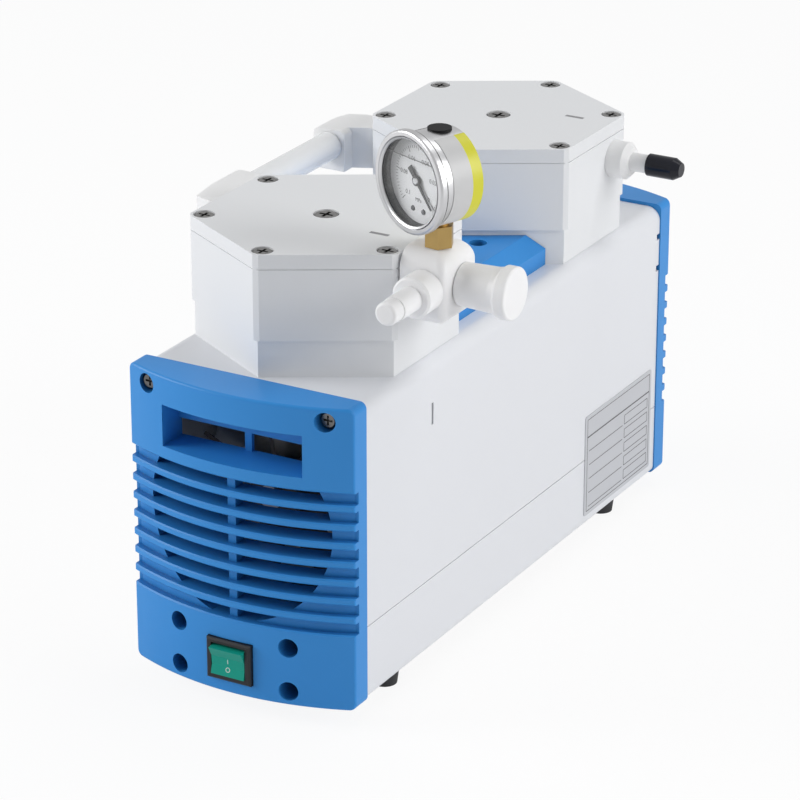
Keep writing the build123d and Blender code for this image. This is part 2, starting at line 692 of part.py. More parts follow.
def valve_gasket():
    knob_y = -HEAD_Y + FRONT_INLET_DY
    return ring(11.0, 4.9, VALVE_X[0] - 55.95, 55.95, knob_y, PORT_Z, "x")


def valve_bonnet():
    knob_y = -HEAD_Y + FRONT_INLET_DY
    return ring(7.0, 4.0 + RUN, 8.0, VALVE_X[1], knob_y, KNOB_Z, "x")


def valve_stem():
    knob_y = -HEAD_Y + FRONT_INLET_DY
    body = rod(4.0, KNOB_END - 3.7 - 76.0, 76.0, knob_y, KNOB_Z, "x")
    return body + cone(1.0, 4.0, 6.0, 70.0, knob_y, KNOB_Z, "x")


def valve_knob():
    """A tapered grip that flares into a thicker end disc, hollow over the bonnet."""
    start = VALVE_X[1] + 0.5
    rim = KNOB_END - 5.4
    low = [(0, start), (10.3, start), (10.9, rim - 4.5)]
    high = [(11.5, rim - 1.6), (KNOB_R, rim), (KNOB_R, KNOB_END), (0, KNOB_END)]
    body = turned(low + high, 0, 0)
    body = fillet(body.edges().sort_by(Axis.Z)[-1], 1.2)
    knob_y = -HEAD_Y + FRONT_INLET_DY
    body = Pos(0, knob_y, KNOB_Z) * Rot(0, 90, 0) * body
    body = body - rod(7.5, 10.0, start - 0.5, knob_y, KNOB_Z, "x")
    return body - rod(4.0 + RUN, KNOB_END - 3.7 - 79.0, 79.0, knob_y, KNOB_Z, "x")


# ---------------------------------------------------------------- gauge
def gauge_place(shape):
    """From the gauge's own axes (face to -Y, stem on Z) to its place."""
    return Pos(GAUGE_X, GAUGE_Y, GAUGE_Z) * Rot(0, 0, GAUGE_TURN) * shape


def gauge_connector():
    outline = Pos(0, 0, VALVE_Z[1] - GAUGE_Z) * RegularPolygon(7.1, 6, rotation=15)
    body = extrude(outline, 10.4)
    body = body + rod(4.6, 14.2, 0, 0, VALVE_Z[1] - GAUGE_Z)
    body = body + rod(2.5, 10.0, 0, 0, VALVE_Z[1] - GAUGE_Z - 9.9)
    return gauge_place(body - rod(1.2, 50, 0, 0, VALVE_Z[1] - GAUGE_Z - 15))


def gauge_case():
    body = rod(GAUGE_CASE_R, 23.5, 0, -15.0, 0, "y")
    body = fillet(body.edges().sort_by(Axis.Y)[-1], 1.5)
    body = body - rod(GAUGE_CASE_R - 0.6, 22.5, 0, -15.2, 0, "y")
    body = body - rod(5.2, 30.0, 0, 0, 0)
    return gauge_place(body - rod(4.62, 30.0, 0, 0, -30.0))


def gauge_bezel():
    """Crimped ring: a flat front flange with a narrow skirt over the case."""
    lip = GAUGE_CASE_R - 1.0
    body = rod(BEZEL_R, 3.4, 0, BEZEL_FACE, 0, "y")
    body = fillet(body.edges().sort_by(Axis.Y)[0], 1.3)
    body = body + rod(GAUGE_CASE_R + 1.2, 6.0, 0, BEZEL_FACE, 0, "y")
    body = body - rod(GAUGE_CASE_R + SEAT, 20.0, 0, BEZEL_FACE + 1.1, 0, "y")
    body = body - cone(lip + 0.8, lip, 1.2, 0, BEZEL_FACE - 0.05, 0, "y")
    return gauge_place(body)


def gauge_lens():
    start = BEZEL_FACE + 1.1
    return gauge_place(rod(GAUGE_CASE_R - 0.1, -15.0 - start, 0, start, 0, "y"))


def gauge_dial():
    """Printed disc with the dark wall that rises from it to the glass."""
    outer = GAUGE_CASE_R - 0.65
    disc = ring(outer, 1.2, 0.8, 0, -11.0, 0, "y")
    wall = ring(outer, outer - 0.9, 4.0, 0, -15.0, 0, "y")
    return gauge_place(disc + wall)


def gauge_movement():
    body = rod(9.0, 6.0, 0, -10.0, 0, "y") + rod(3.2, 14.0, 0, -6.5, -18.6)
    return gauge_place(body - rod(1.2, 30.0, 0, -20.0, 0, "y"))


def gauge_pointer():
    body = rod(2.4, 1.2, 0, -12.8, 0, "y") + rod(1.0, 5.0, 0, -12.6, 0, "y")
    needle = Polyline((-7.5, -1.5), (0, -0.9), (15.5, -0.35), (15.5, 0.35), (0, 0.9), (-7.5, 1.5), close=True)
    needle = extrude(make_face(Plane.XZ * needle), 0.5)
    needle = Pos(0, -11.9, 0) * Rot(0, -POINTER_REST, 0) * needle
    return gauge_place(body + needle)


def gauge_plug():
    skin = rod(GAUGE_CASE_R + SEAT, 30.0, 0, -12.0, 0, "y")
    cap = rod(5.6, 1.6, 0, 0, 21.2) - skin
    return gauge_place(cap + rod(5.1, 2.8, 0, 0, 19.8))


def gauge_band():
    band = ring(GAUGE_CASE_R + 0.25, GAUGE_CASE_R + SEAT, 17.0, 0, -9.5, 0, "y")
    for z in (GAUGE_CASE_R, -GAUGE_CASE_R):
        band = band - block(-8.0, 8.0, -30, 30, z - 9, z + 9)
    return gauge_place(band)


# ---------------------------------------------------------------- outlet side
def exhaust_fitting():
    y = HEAD_Y + REAR_OUTLET_DY
    body = rod(9.5, 8.5, 55.95, y, EXHAUST_Z, "x") + cone(9.5, 7.0, 2.5, 64.45, y, EXHAUST_Z, "x")
    body = body + rod(4.7, 22.0, 66.0, y, EXHAUST_Z, "x")
    return body - rod(3.0, 60.0, 50.0, y, EXHAUST_Z, "x")


def exhaust_cap():
    y = HEAD_Y + REAR_OUTLET_DY
    body = rod(5.7, 14.1, 76.3, y, EXHAUST_Z, "x") + cone(5.7, 3.6, 3.8, 90.4, y, EXHAUST_Z, "x")
    return body - rod(4.7 + RUN, 12.7, 76.0, y, EXHAUST_Z, "x")


def elbow(side):
    """Moulded corner: one leg on the head, one leg along the tube."""
    dy = FRONT_OUTLET_DY if side < 0 else REAR_INLET_DY
    reach = FRONT_REACH if side < 0 else REAR_REACH
    port_y = side * HEAD_Y + dy
    back = 8.5
    x_out = TUBE_X - ELBOW_OUT
    plan = [
        (-VALVE_X[0], back),
        (TUBE_X + 5, back),
        (x_out + 5, 5.0),
        (x_out, -reach + 10),
        (x_out, -reach),
        (TUBE_X + ELBOW_OUT, -reach),
        (TUBE_X + ELBOW_OUT, -back - 5),
        (-VALVE_X[0], -back),
    ]
    body = make_face(Polyline(*plan, close=True))
    body = Pos(0, 0, ELBOW_Z[0]) * extrude(body, ELBOW_Z[1] - ELBOW_Z[0])
    body = fillet(body.edges().group_by(Axis.Z)[-1].filter_by(Axis.Y), 3.0)
    body = body - rod(4.0, TUBE_X * -1 - 50.0, TUBE_X, 0, PORT_Z, "x")
    body = body - rod(4.0, reach, TUBE_X, -reach, TUBE_Z, "y")
    body = body - rod(TUBE_R + SEAT, 12.0, TUBE_X, -reach - 6.0, TUBE_Z, "y")
    if side < 0:
        body = mirror(body, Plane.XZ)
    return Pos(0, port_y, 0) * body


def elbow_gaskets():
    made = []
    for side, dy in ((-1, FRONT_OUTLET_DY), (1, REAR_INLET_DY)):
        made.append(ring(8.4, 4.2, 1.25, -VALVE_X[0], side * HEAD_Y + dy, PORT_Z, "x"))
    return made


def transfer_tube():
    y0 = -HEAD_Y + FRONT_OUTLET_DY + FRONT_REACH - 6.0
    y1 = HEAD_Y + REAR_INLET_DY - REAR_REACH + 6.0
    return ring(TUBE_R, 4.0, y1 - y0, TUBE_X, y0, TUBE_Z, "y")


# ---------------------------------------------------------------- switch, inlet
def switch_bezel():
    seat = CROWN - 0.95
    body = slab(-1, seat, seat + 3.0, -12.1, 12.1, SWITCH_Z - 10.55, SWITCH_Z + 10.55)
    body = chamfer(body.faces().sort_by(Axis.Y)[0].edges(), 0.9)
    body = body + slab(-1, CROWN - 19.45, seat, -10.7, 10.7, SWITCH_Z - 9.6, SWITCH_Z + 9.6)
    body = body - slab(-1, CROWN - 17.45, CROWN + 10, -9.3, 9.3, SWITCH_Z - 7.6, SWITCH_Z + 8.4)
    for x in (-5.0, 0.0, 5.0):
        tab = slab(-1, CROWN - 26.45, CROWN - 18.95, x - 0.4, x + 0.4, -2.4, 2.4)
        body = body + Pos(0, 0, SWITCH_Z) * tab
    return body


def switch_rocker():
    """Dished, waisted rocker; turned about its pivot so the lower half is pressed in."""
    face = [(-7.1, -6.8), (-2.6, -5.2), (2.0, -5.0), (7.1, -6.8)]
    back = [(7.1, 1.0), (3.0, 5.0), (-3.0, 5.0), (-7.1, 1.0)]
    profile = Polyline(*[(y, z) for z, y in face + back], close=True)
    body = extrude(make_face(Plane.YZ * profile), 9.0, both=True)
    waist = Polyline((9.1, 5.6), (9.1, -5.6), (7.6, 1.4), close=True)
    waist = extrude(make_face(Plane.XZ * waist), 4.0)
    waist = Pos(0, -4.2, 0) * waist
    body = body - waist - mirror(waist, Plane.YZ)
    return Pos(0, PIVOT_Y, SWITCH_Z + 0.4) * Rot(-ROCKER_REST, 0, 0) * body


def power_inlet():
    seat = CROWN - 0.95
    body = slab(1, seat, seat + 2.5, -15.3, 15.3, SWITCH_Z - 11.8, SWITCH_Z + 11.8)
    body = chamfer(body.faces().sort_by(Axis.Y)[-1].edges(), 0.7)
    body = body + slab(1, CROWN - 24.45, seat, -13.6, 13.6, SWITCH_Z - 9.8, SWITCH_Z + 9.8)
    cavity = slab(1, CROWN - 17.45, CROWN + 10, -12.1, 12.1, SWITCH_Z - 7.8, SWITCH_Z + 7.8)
    cavity = chamfer(cavity.edges().filter_by(Axis.Y).sort_by(Axis.Z)[-2:], 4.0)
    return body - cavity


def inlet_pins():
    made = []
    for x, z in ((-7.0, -2.0), (0.0, 2.0), (7.0, -2.0)):
        pin = slab(1, CROWN - 17.45, CROWN - 2.45, x - 1.0, x + 1.0, z - 2.0, z + 2.0)
        made.append(Pos(0, 0, SWITCH_Z) * pin)
    return made


# ---------------------------------------------------------------- write nodes
nodes = {
    "front_panel": end_panel(21.7, 19.5, 24.8, 21.7),
    "rear_panel": mirror(end_panel(27.5, 19.9, 31.2, 24.2), Plane.XZ),
    "upper_casing": upper_casing(),
    "lower_casing": lower_casing(),
    "rubber_feet": several(rubber_feet()),
    "case_screws": several(panel_screws(-1) + panel_screws(1) + centre_cover_screws() + foot_screws()),
    "nameplate": nameplate(),
    "centre_cover": centre_cover(),
    "stator_core": stator_core(),
    "stator_windings": several([winding(-1), winding(1)]),
    "end_shields": several([end_shield(side) for side in (-1, 1)]),
    "main_bearings": several(main_bearings()),
    "motor_bracket": motor_bracket(),
    "run_capacitor": rod(CAPACITOR_R, 58.0, CAPACITOR_X, -98.0, CAPACITOR_Z, "y"),
    "shaft": shaft(),
    "rotor_core": rotor_core(),
    "eccentrics": several([eccentric(-1, THROW), eccentric(1, -THROW)]),
    "fans": several([fan(-1), fan(1)]),
    "bearing_covers": several([bearing_cover(-1), bearing_cover(1)]),
    "head_screws": several(cover_screws(-1) + cover_screws(1)),
    "valve_flaps": several(valve_flaps()),
    "valve_cages": several(valve_cages()),
    "pocket_seals": several(pocket_seals()),
    "port_gaskets": several([valve_gasket()] + elbow_gaskets()),
    "valve_block": valve_block(),
    "inlet_nozzle": several([inlet_nozzle(), nozzle_cap()]),
    "valve_bonnet": valve_bonnet(),
    "valve_stem": valve_stem(),
    "valve_knob": valve_knob(),
    "gauge_connector": gauge_connector(),
    "gauge_case": gauge_case(),
    "gauge_bezel": gauge_bezel(),
    "gauge_lens": gauge_lens(),
    "gauge_dial": gauge_dial(),
    "gauge_movement": gauge_movement(),
    "gauge_pointer": gauge_pointer(),
    "gauge_fill_plug": gauge_plug(),
    "gauge_band": gauge_band(),
    "exhaust_fitting": exhaust_fitting(),
    "exhaust_cap": exhaust_cap(),
    "elbows": several([elbow(-1), elbow(1)]),
    "transfer_tube": transfer_tube(),
    "switch_bezel": switch_bezel(),
    "switch_rocker": switch_rocker(),
    "power_inlet": power_inlet(),
    "inlet_pins": several(inlet_pins()),
}

for end, side, lift in (("front", -1, THROW), ("rear", 1, -THROW)):
    centre = SHAFT_Z + lift
    nodes[end + "_crank_bearing"] = sleeve(CRANK_BEARING_R, JOURNAL_R + RUN, side, 79.3, 92.3, 0, centre)
    nodes[end + "_rod"] = connecting_rod(side, lift)
    nodes[end + "_clamp_disc"] = clamp_disc(side, lift)
    nodes[end + "_diaphragm"] = diaphragm(side, lift)
    nodes[end + "_crankcase"] = crankcase(side)
    nodes[end + "_head"] = head_body(side)
    nodes[end + "_head_cover"] = head_cover(side)

for name, shape in nodes.items():
    export_step(shape, "parts/" + name + ".step")
    print(name, len(shape.solids()), round(shape.volume / 1000, 2))
print(len(nodes), "nodes")
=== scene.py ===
# %% [markdown]
# # A twin-head diaphragm vacuum pump
# The CAD model gives every rigid piece its true shape and place, and this script dresses it.
# Most pieces keep their CAD mesh and only get a finish here. What is added is what a CAD model
# leaves out: the printing on the dial, the switch and the rating plate, and small turned trims.
# Everything is in metres, with the switch end towards -Y and the inlet valve on +X.

# %% Load the fixed frame
import json
import math

import bmesh
import bpy
from mathutils import Matrix, Vector


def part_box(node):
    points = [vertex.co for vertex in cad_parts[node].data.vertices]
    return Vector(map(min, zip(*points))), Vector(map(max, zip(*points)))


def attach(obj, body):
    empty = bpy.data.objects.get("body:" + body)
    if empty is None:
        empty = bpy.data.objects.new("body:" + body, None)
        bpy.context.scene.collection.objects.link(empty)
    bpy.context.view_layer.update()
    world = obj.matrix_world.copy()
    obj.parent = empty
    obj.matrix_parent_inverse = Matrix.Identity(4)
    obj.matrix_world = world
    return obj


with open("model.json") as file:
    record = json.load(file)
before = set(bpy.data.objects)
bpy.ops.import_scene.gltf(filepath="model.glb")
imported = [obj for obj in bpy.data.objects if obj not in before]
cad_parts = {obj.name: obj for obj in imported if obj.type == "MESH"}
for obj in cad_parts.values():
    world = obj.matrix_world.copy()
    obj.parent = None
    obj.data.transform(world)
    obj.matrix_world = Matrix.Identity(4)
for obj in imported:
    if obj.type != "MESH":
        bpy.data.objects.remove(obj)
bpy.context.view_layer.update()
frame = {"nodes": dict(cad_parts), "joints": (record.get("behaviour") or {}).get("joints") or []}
nodes = frame["nodes"]
joints = {joint["name"]: joint for joint in frame["joints"]}
MM = 0.001

# %% [markdown]
# ## Camera
# A long lens from a good distance keeps the casing's edges almost parallel, as a catalogue
# view does. The camera is placed by its heading and height round a point on the casing,
# because two angles and a distance are easier to set than three coordinates. The vector
# from the target back to the camera then also gives the way that it has to be turned.

# %% Camera
VIEW_HEADING = math.radians(29.52)
VIEW_HEIGHT = math.radians(22.58)
VIEW_TARGET = Vector((0.0, -0.01549, 0.10012))
VIEW_DISTANCE = 1.82334
LENS_LENGTH = 165.0
FILM_WIDTH = 36.0
VIEW_REACH = 20.0

back = Vector((
    math.sin(VIEW_HEADING) * math.cos(VIEW_HEIGHT),
    -math.cos(VIEW_HEADING) * math.cos(VIEW_HEIGHT),
    math.sin(VIEW_HEIGHT),
))
camera_data = bpy.data.cameras.new("camera")
camera_data.lens = LENS_LENGTH
camera_data.sensor_width = FILM_WIDTH
camera_data.clip_end = VIEW_REACH
camera = bpy.data.objects.new("camera", camera_data)
camera.location = VIEW_TARGET + back * VIEW_DISTANCE
camera.rotation_euler = back.to_track_quat("Z", "Y").to_euler()
bpy.context.scene.collection.objects.link(camera)
bpy.context.scene.camera = camera
print("camera at", [round(v, 3) for v in camera.location])

# %% [markdown]
# ## Studio
# The pump stands on a white sweep under soft light. The world gives an even white fill, and
# two large lamps shape the form: a stronger one on the left and a weaker one on the right,
# so the faces turned to the viewer stay a little darker than the two sides.
#
# More light would whiten the background, but it would also bleach the pump. So the backdrop
# and the floor ask the Light Path node what kind of ray meets them: they look white to the
# camera and pale in reflections, and shed less light than that on the pump. Under its white
# the floor keeps a share of plain paper, and that takes the soft shadow.

# %% Node helpers
def new_material(name):
    """An empty material that is ready for nodes."""
    made = bpy.data.materials.new(name)
    made.use_nodes = True
    made.node_tree.nodes.clear()
    return made


def add(tree, kind, **values):
    """Adds a node; keyword names are its properties."""
    node = tree.nodes.new(kind)
    for key, value in values.items():
        setattr(node, key, value)
    return node


def wire(tree, source, output, target, socket):
    """Links an output to a socket; each is given by its name or its number."""
    tree.links.new(source.outputs[output], target.inputs[socket])


def white_share(tree, direct, mirrored):
    """How much of the white backdrop a ray sees: from the camera or through glass, or in gloss."""
    rays = add(tree, "ShaderNodeLightPath")
    straight = add(tree, "ShaderNodeMath", operation="MAXIMUM")
    wire(tree, rays, "Is Camera Ray", straight, 0)
    wire(tree, rays, "Is Transmission Ray", straight, 1)
    full = add(tree, "ShaderNodeMath", operation="MULTIPLY")
    full.inputs[1].default_value = direct
    wire(tree, straight, "Value", full, 0)
    gloss = add(tree, "ShaderNodeMath", operation="MULTIPLY")
    gloss.inputs[1].default_value = mirrored
    wire(tree, rays, "Is Glossy Ray", gloss, 0)
    either = add(tree, "ShaderNodeMath", operation="MAXIMUM")
    wire(tree, full, "Value", either, 0)
    wire(tree, gloss, "Value", either, 1)
    return either


# %% Floor
FLOOR_SIZE = 12.0
FLOOR_DROP = 0.0003
FLOOR_PAPER = (0.93, 0.93, 0.94, 1.0)
PURE_WHITE = (1.0, 1.0, 1.0, 1.0)
FLOOR_WHITE_SEEN = 0.90
BACKDROP_WHITE_SEEN = 1.0
WHITE_IN_GLOSS = 0.45

floor_material = new_material("studio_floor")
tree = floor_material.node_tree
out = add(tree, "ShaderNodeOutputMaterial")
paper = add(tree, "ShaderNodeBsdfDiffuse")
paper.inputs["Color"].default_value = FLOOR_PAPER
glow = add(tree, "ShaderNodeEmission")
glow.inputs["Color"].default_value = PURE_WHITE
share = white_share(tree, FLOOR_WHITE_SEEN, WHITE_IN_GLOSS)
mix = add(tree, "ShaderNodeMixShader")
wire(tree, share, "Value", mix, "Fac")
wire(tree, paper, "BSDF", mix, 1)
wire(tree, glow, "Emission", mix, 2)
wire(tree, mix, "Shader", out, "Surface")

sheet = bmesh.new()
bmesh.ops.create_grid(sheet, x_segments=1, y_segments=1, size=FLOOR_SIZE / 2)
bmesh.ops.translate(sheet, verts=sheet.verts, vec=(0.0, 0.0, -FLOOR_DROP))
floor_mesh = bpy.data.meshes.new("studio_floor")
sheet.to_mesh(floor_mesh)
sheet.free()
floor = bpy.data.objects.new("studio_floor", floor_mesh)
floor.data.materials.append(floor_material)
bpy.context.scene.collection.objects.link(floor)
print("floor", FLOOR_SIZE, "m wide,", FLOOR_DROP, "m under the feet")

# %% World
FILL_COLOUR = (0.98, 0.99, 1.0, 1.0)
FILL_STRENGTH = 0.34

world = bpy.data.worlds.new("studio")
bpy.context.scene.world = world
world.use_nodes = True
tree = world.node_tree
tree.nodes.clear()
out = add(tree, "ShaderNodeOutputWorld")
fill = add(tree, "ShaderNodeBackground")
fill.inputs["Color"].default_value = FILL_COLOUR
fill.inputs["Strength"].default_value = FILL_STRENGTH
white = add(tree, "ShaderNodeBackground")
white.inputs["Color"].default_value = PURE_WHITE
white.inputs["Strength"].default_value = 1.0
share = white_share(tree, BACKDROP_WHITE_SEEN, WHITE_IN_GLOSS)
mix = add(tree, "ShaderNodeMixShader")
wire(tree, share, "Value", mix, "Fac")
wire(tree, fill, "Background", mix, 1)
wire(tree, white, "Background", mix, 2)
wire(tree, mix, "Shader", out, "Surface")
print("world fill", FILL_STRENGTH)

# %% Lamps
LAMP_AIM = Vector((0.0, 0.0, 0.1))


def lamp(name, place, size, power):
    """A round soft lamp that points at the middle of the pump."""
    data = bpy.data.lights.new(name, "AREA")
    data.shape = "DISK"
    data.size = size
    data.energy = power
    made = bpy.data.objects.new(name, data)
    made.location = place
    aim = Vector(place) - LAMP_AIM
    made.rotation_euler = aim.to_track_quat("Z", "Y").to_euler()
    bpy.context.scene.collection.objects.link(made)
    return made


lamp("left_lamp", place=(-1.7, -0.95, 0.95), size=1.3, power=26.0)
lamp("right_lamp", place=(1.9, 0.35, 0.95), size=1.3, power=20.5)
lamp("top_lamp", place=(0.3, 0.7, 2.1), size=1.0, power=7.4)
bpy.context.scene.view_settings.view_transform = "Standard"

# %% [markdown]
# ## Shared surface effect
# Real moulded, cast or painted surfaces are never one flat value. One node group makes the
# three things they share: broad, faint patches of tone, a little change in gloss, and a fine
# grain in the surface. The same nodes could be built again in every material, but a group is
# built once and each material places it with its own sizes and strengths. All three patterns
# are noise on Object coordinates, which run on without a seam over a piece of any shape.

# %% The finish group
PATCH_DETAIL, SMEAR_DETAIL, GRAIN_DETAIL = 4.0, 3.0, 2.0
SMEAR_SCALE = 60.0
NOISE_MIDDLE = 0.5

# A Mix node has a set of sockets for each kind of data. These are the ones for colour.
COLOUR_A, COLOUR_B = 6, 7
COLOUR_RESULT = 2


def finish_group():
    """Builds the group that every finish shares, with its inputs' usual values."""
    group = bpy.data.node_groups.new("surface_finish", "ShaderNodeTree")
    face = group.interface
    for name, kind, value in (
        ("Colour", "NodeSocketColor", (0.8, 0.8, 0.8, 1.0)),
        ("Patch Colour", "NodeSocketColor", (0.7, 0.7, 0.7, 1.0)),
        ("Patch Amount", "NodeSocketFloat", 0.3),
        ("Patch Scale", "NodeSocketFloat", 12.0),
        ("Roughness", "NodeSocketFloat", 0.4),
        ("Roughness Spread", "NodeSocketFloat", 0.08),
        ("Grain Scale", "NodeSocketFloat", 2500.0),
        ("Grain Depth", "NodeSocketFloat", 0.00002),
    ):
        socket = face.new_socket(name=name, in_out="INPUT", socket_type=kind)
        socket.default_value = value
    face.new_socket(name="Colour", in_out="OUTPUT", socket_type="NodeSocketColor")
    face.new_socket(name="Roughness", in_out="OUTPUT", socket_type="NodeSocketFloat")
    face.new_socket(name="Normal", in_out="OUTPUT", socket_type="NodeSocketVector")

    given = add(group, "NodeGroupInput")
    result = add(group, "NodeGroupOutput")
    place = add(group, "ShaderNodeTexCoord")
    patches = add(group, "ShaderNodeTexNoise")
    patches.inputs["Detail"].default_value = PATCH_DETAIL
    wire(group, place, "Object", patches, "Vector")
    wire(group, given, "Patch Scale", patches, "Scale")
    amount = add(group, "ShaderNodeMath", operation="MULTIPLY", use_clamp=True)
    wire(group, patches, "Fac", amount, 0)
    wire(group, given, "Patch Amount", amount, 1)
    tone = add(group, "ShaderNodeMix", data_type="RGBA")
    wire(group, amount, "Value", tone, "Factor")
    wire(group, given, "Colour", tone, COLOUR_A)
    wire(group, given, "Patch Colour", tone, COLOUR_B)
    wire(group, tone, COLOUR_RESULT, result, "Colour")

    smears = add(group, "ShaderNodeTexNoise")
    smears.inputs["Scale"].default_value = SMEAR_SCALE
    smears.inputs["Detail"].default_value = SMEAR_DETAIL
    wire(group, place, "Object", smears, "Vector")
    centred = add(group, "ShaderNodeMath", operation="SUBTRACT")
    centred.inputs[1].default_value = NOISE_MIDDLE
    wire(group, smears, "Fac", centred, 0)
    spread = add(group, "ShaderNodeMath", operation="MULTIPLY_ADD", use_clamp=True)
    wire(group, centred, "Value", spread, 0)
    wire(group, given, "Roughness Spread", spread, 1)
    wire(group, given, "Roughness", spread, 2)
    wire(group, spread, "Value", result, "Roughness")

    grain = add(group, "ShaderNodeTexNoise")
    grain.inputs["Detail"].default_value = GRAIN_DETAIL
    wire(group, place, "Object", grain, "Vector")
    wire(group, given, "Grain Scale", grain, "Scale")
    bump = add(group, "ShaderNodeBump")
    bump.inputs["Strength"].default_value = 1.0
    wire(group, grain, "Fac", bump, "Height")
    wire(group, given, "Grain Depth", bump, "Distance")
    wire(group, bump, "Normal", result, "Normal")
    return group


FINISH = finish_group()
print("finish group inputs", [s.name for s in FINISH.interface.items_tree if s.in_out == "INPUT"])


# %% Materials made with the group
# Painted shade in slots and corners: how closed in a spot must be to take the full shade, to take
# none, and how dark that shade is.
CREVICE_CLOSED = 0.15
CREVICE_OPEN = 0.70
CREVICE_SHADE = 0.50
CREVICE_SAMPLES = 8


def darker(colour, share):
    """The same hue with each channel brought down to a share of itself."""
    return tuple(channel * share for channel in colour)


def finish(name, colour, roughness, patch=0.25, patch_scale=14.0, patch_share=0.82,
           grain=2500.0, depth_mm=0.01, spread=0.10, painted_shade_mm=None, **sockets):
    """A Principled material fed by the finish group. Extra names are Principled sockets.

    With a painted_shade_mm distance, shade is painted into the colour in slots and corners of that
    size.
    """
    made = new_material(name)
    tree = made.node_tree
    out = add(tree, "ShaderNodeOutputMaterial")
    shader = add(tree, "ShaderNodeBsdfPrincipled")
    group = add(tree, "ShaderNodeGroup", node_tree=FINISH)
    group.inputs["Colour"].default_value = (*colour, 1.0)
    group.inputs["Patch Colour"].default_value = (*darker(colour, patch_share), 1.0)
    group.inputs["Patch Amount"].default_value = patch
    group.inputs["Patch Scale"].default_value = patch_scale
    group.inputs["Roughness"].default_value = roughness
    group.inputs["Roughness Spread"].default_value = spread
    group.inputs["Grain Scale"].default_value = grain
    group.inputs["Grain Depth"].default_value = depth_mm * MM
    wire(tree, group, "Colour", shader, "Base Color")
    # Painted shade: the colour goes darker where the Ambient Occlusion node finds the spot closed
    # in, standing in for the shade that falls in slots and corners.
    if painted_shade_mm:
        near = add(tree, "ShaderNodeAmbientOcclusion", samples=CREVICE_SAMPLES)
        near.inputs["Distance"].default_value = painted_shade_mm * MM
        depth = add(tree, "ShaderNodeMapRange", clamp=True)
        depth.inputs["From Min"].default_value = CREVICE_CLOSED
        depth.inputs["From Max"].default_value = CREVICE_OPEN
        painted_shade = add(tree, "ShaderNodeMix", data_type="RGBA")
        painted_shade.inputs[COLOUR_A].default_value = (*darker(colour, CREVICE_SHADE), 1.0)
        wire(tree, near, "AO", depth, "Value")
        wire(tree, depth, "Result", painted_shade, "Factor")
        wire(tree, group, "Colour", painted_shade, COLOUR_B)
        wire(tree, painted_shade, COLOUR_RESULT, shader, "Base Color")
    wire(tree, group, "Roughness", shader, "Roughness")
    wire(tree, group, "Normal", shader, "Normal")
    wire(tree, shader, "BSDF", out, "Surface")
    for socket, value in sockets.items():
        shader.inputs[socket.replace("_", " ")].default_value = value
    return made


def dress(material, *names):
    """Gives CAD nodes a finish, in place of the plain one they came with."""
    for name in names:
        if not nodes[name].material_slots:
            nodes[name].data.materials.append(material)
        for slot in nodes[name].material_slots:
            slot.material = material
    return material


# %% [markdown]
# ## Mouldings
# The end panels and the cover between the heads are satin blue plastic with a faint spark texture,
# with shade painted into their colour in the flutes and louvres. The casing is a cool white with a
# slightly coarser grain, and the heads are machined from white plastic, so they are duller.
# The valve, nozzles and elbows let a little light into their surface, which softens them.
#
# The shade in the slots is painted into the colour. It could be painted by hand on a map. Here an
# Ambient Occlusion node finds the slots instead: it tells how closed in a spot is within a set
# distance, so the same painted shade works on all three blue pieces and keeps working if their
# flutes move.

# %% Blue and white plastics
PANEL_BLUE = (0.037, 0.280, 0.715)
CASE_WHITE = (0.785, 0.797, 0.828)
HEAD_WHITE = (0.810, 0.820, 0.835)
PORT_WHITE = (0.930, 0.925, 0.930)
FITTING_WHITE_SHADED = (0.880, 0.880, 0.882)
EVEN_SCATTER = (1.0, 0.98, 0.96)

# Painted shade: the blue darkens in its flutes, louvres and window.
blue = finish("moulded_blue", PANEL_BLUE, 0.34, patch=0.3, grain=1800.0, depth_mm=0.012,
              painted_shade_mm=11.0, Specular_IOR_Level=0.28)
dress(blue, "front_panel", "rear_panel", "centre_cover")
casing_white = finish("casing_white", CASE_WHITE, 0.42, patch=0.2, patch_share=0.94,
                      grain=1500.0, depth_mm=0.018)
dress(casing_white, "upper_casing", "lower_casing")
head_white = finish("head_white", HEAD_WHITE, 0.62, patch=0.2, patch_share=0.95, grain=2200.0,
                    depth_mm=0.008, Specular_IOR_Level=0.20)
dress(head_white, "front_head", "rear_head", "front_head_cover", "rear_head_cover",
      "front_crankcase", "rear_crankcase")
port_white = finish("port_white", PORT_WHITE, 0.40, patch=0.2, patch_share=0.93, grain=1200.0,
                    depth_mm=0.006, Subsurface_Weight=0.25, Subsurface_Scale=0.004,
                    Subsurface_Radius=EVEN_SCATTER, Specular_IOR_Level=0.4)
dress(port_white, "valve_block", "valve_knob", "valve_bonnet", "valve_stem", "inlet_nozzle",
      "valve_cages")
# Painted shade: the elbows and exhaust fitting get a darker copy of the valve's white, which tones
# down the strong light of the left lamp on them.
fitting_white_painted_shade = finish("fitting_white_painted_shade", FITTING_WHITE_SHADED, 0.44, patch=0.2, patch_share=0.93,
                       grain=1200.0, depth_mm=0.006, Subsurface_Weight=0.25,
                       Subsurface_Scale=0.004, Subsurface_Radius=EVEN_SCATTER,
                       Specular_IOR_Level=0.3)
dress(fitting_white_painted_shade, "elbows", "exhaust_fitting")
tube_white = finish("tube_white", (0.88, 0.89, 0.90), 0.22, patch=0.3, patch_share=0.9,
                    grain=500.0, depth_mm=0.01, Subsurface_Weight=0.3, Subsurface_Scale=0.004,
                    Subsurface_Radius=EVEN_SCATTER)
dress(tube_white, "transfer_tube")
print("plastics", len(bpy.data.materials))

# %% [markdown]
# ## Rubber, metal and small parts
# The feet and seals are dull rubber, and the rocker is tinted green plastic. Screws are dark
# plated steel, the gauge's case is brushed bright, its stem is brass bar, and what lies inside
# the casing is cast or ground metal. All of them use the same group: a metal differs from a
# plastic here by its Metallic value and by stronger and smaller patches, which read as the
# stains and tool marks of handled metal.

